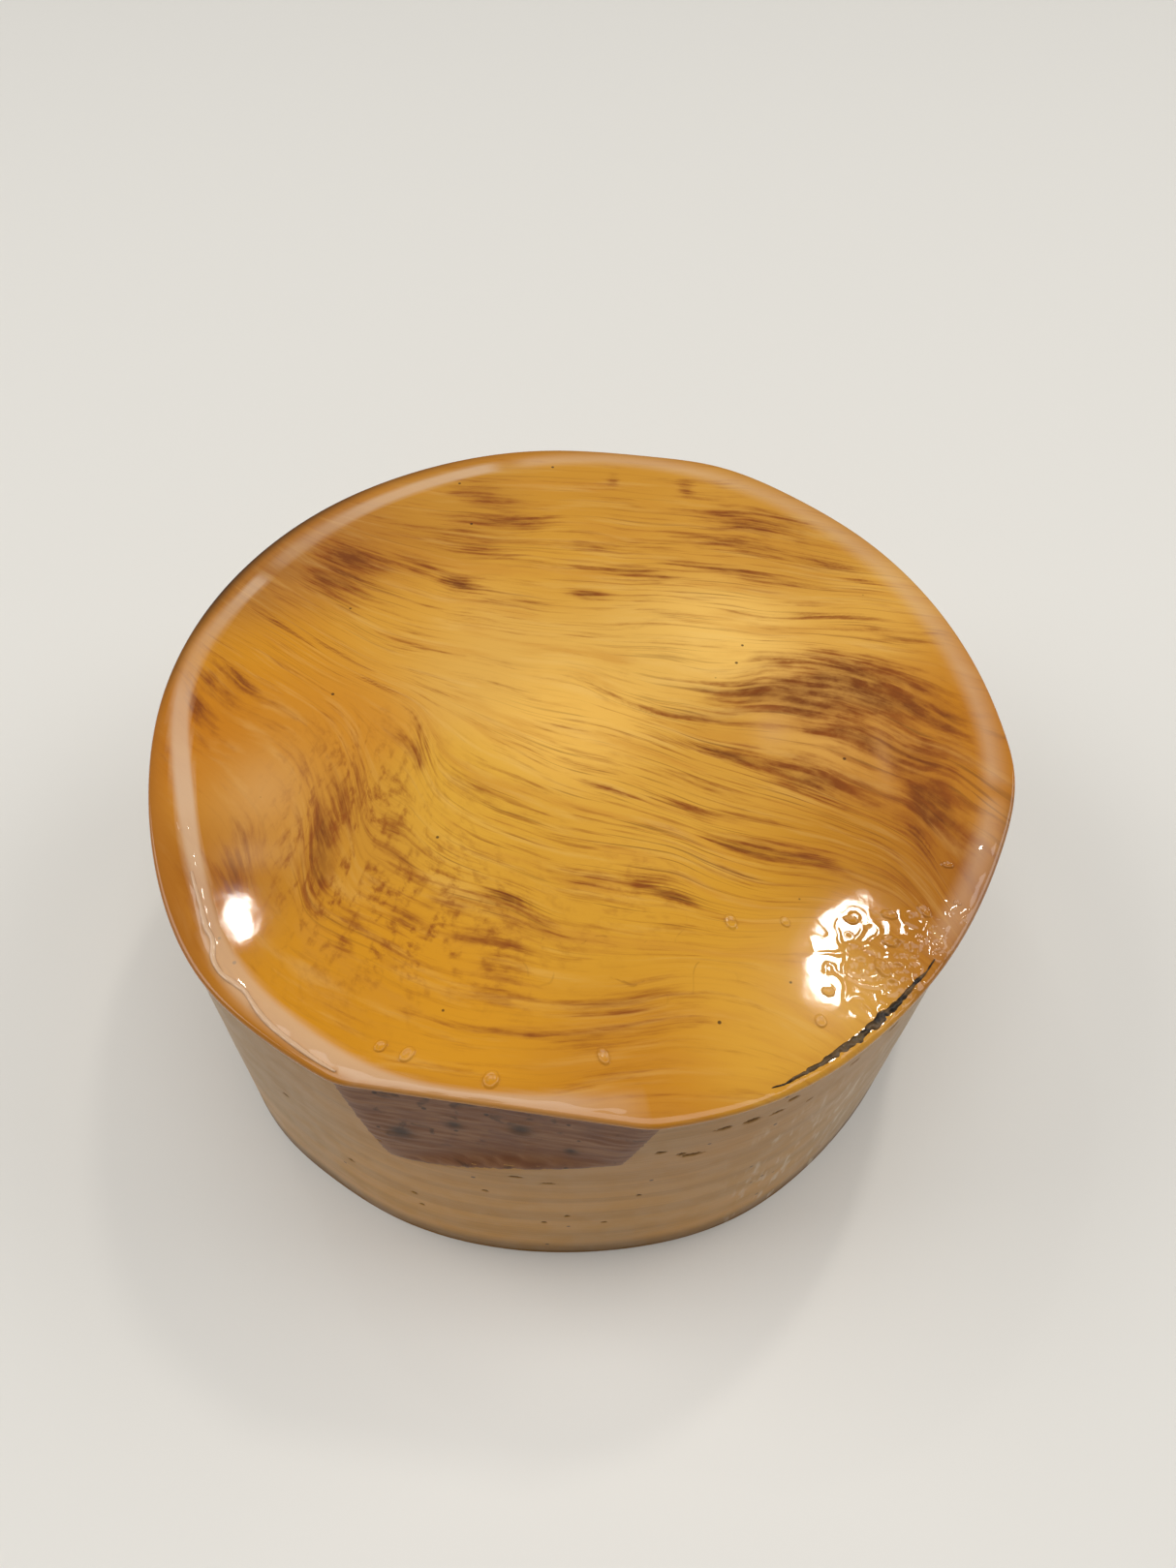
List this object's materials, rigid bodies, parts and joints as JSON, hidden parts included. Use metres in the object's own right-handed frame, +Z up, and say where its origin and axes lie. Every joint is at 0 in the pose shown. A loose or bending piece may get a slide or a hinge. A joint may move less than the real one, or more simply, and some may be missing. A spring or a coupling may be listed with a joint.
{
  "type": "wood turning blank",
  "caption": "Round figured wood turning blank, sealed in wax, with a glossy clear top face, a bark-edged flat at the front and a flat base.",
  "frame": {"origin": "centre of the base's underside, on the surface the blank stands on", "axes": "+Z up through the blank, from its base to its glossy top face; -Y towards the flat at the front"},
  "size_m": [0.1797, 0.1763, 0.0778],
  "materials": {
    "wood": "bandsawn figured hardwood",
    "inner_bark": "fibrous inner bark under wax",
    "outer_bark": "rough grey bark under wax",
    "top_wax": "thick clear wax, wet gloss, over figured wood",
    "side_wax": "thin greyed wax over sawn wood, satin",
    "milky_wax": "thick milky wax, wet gloss"
  },
  "bodies": {
    "root": {"wood_blank": "wood", "wane_bark": "inner_bark", "bark_strip": "outer_bark", "top_wax_coat": "top_wax", "side_wax_coat": "side_wax", "base_wax_coat": "side_wax", "rim_wax_lap": "milky_wax", "wax_blisters": "top_wax", "wax_runs": "milky_wax"}
  },
  "joints": []
}
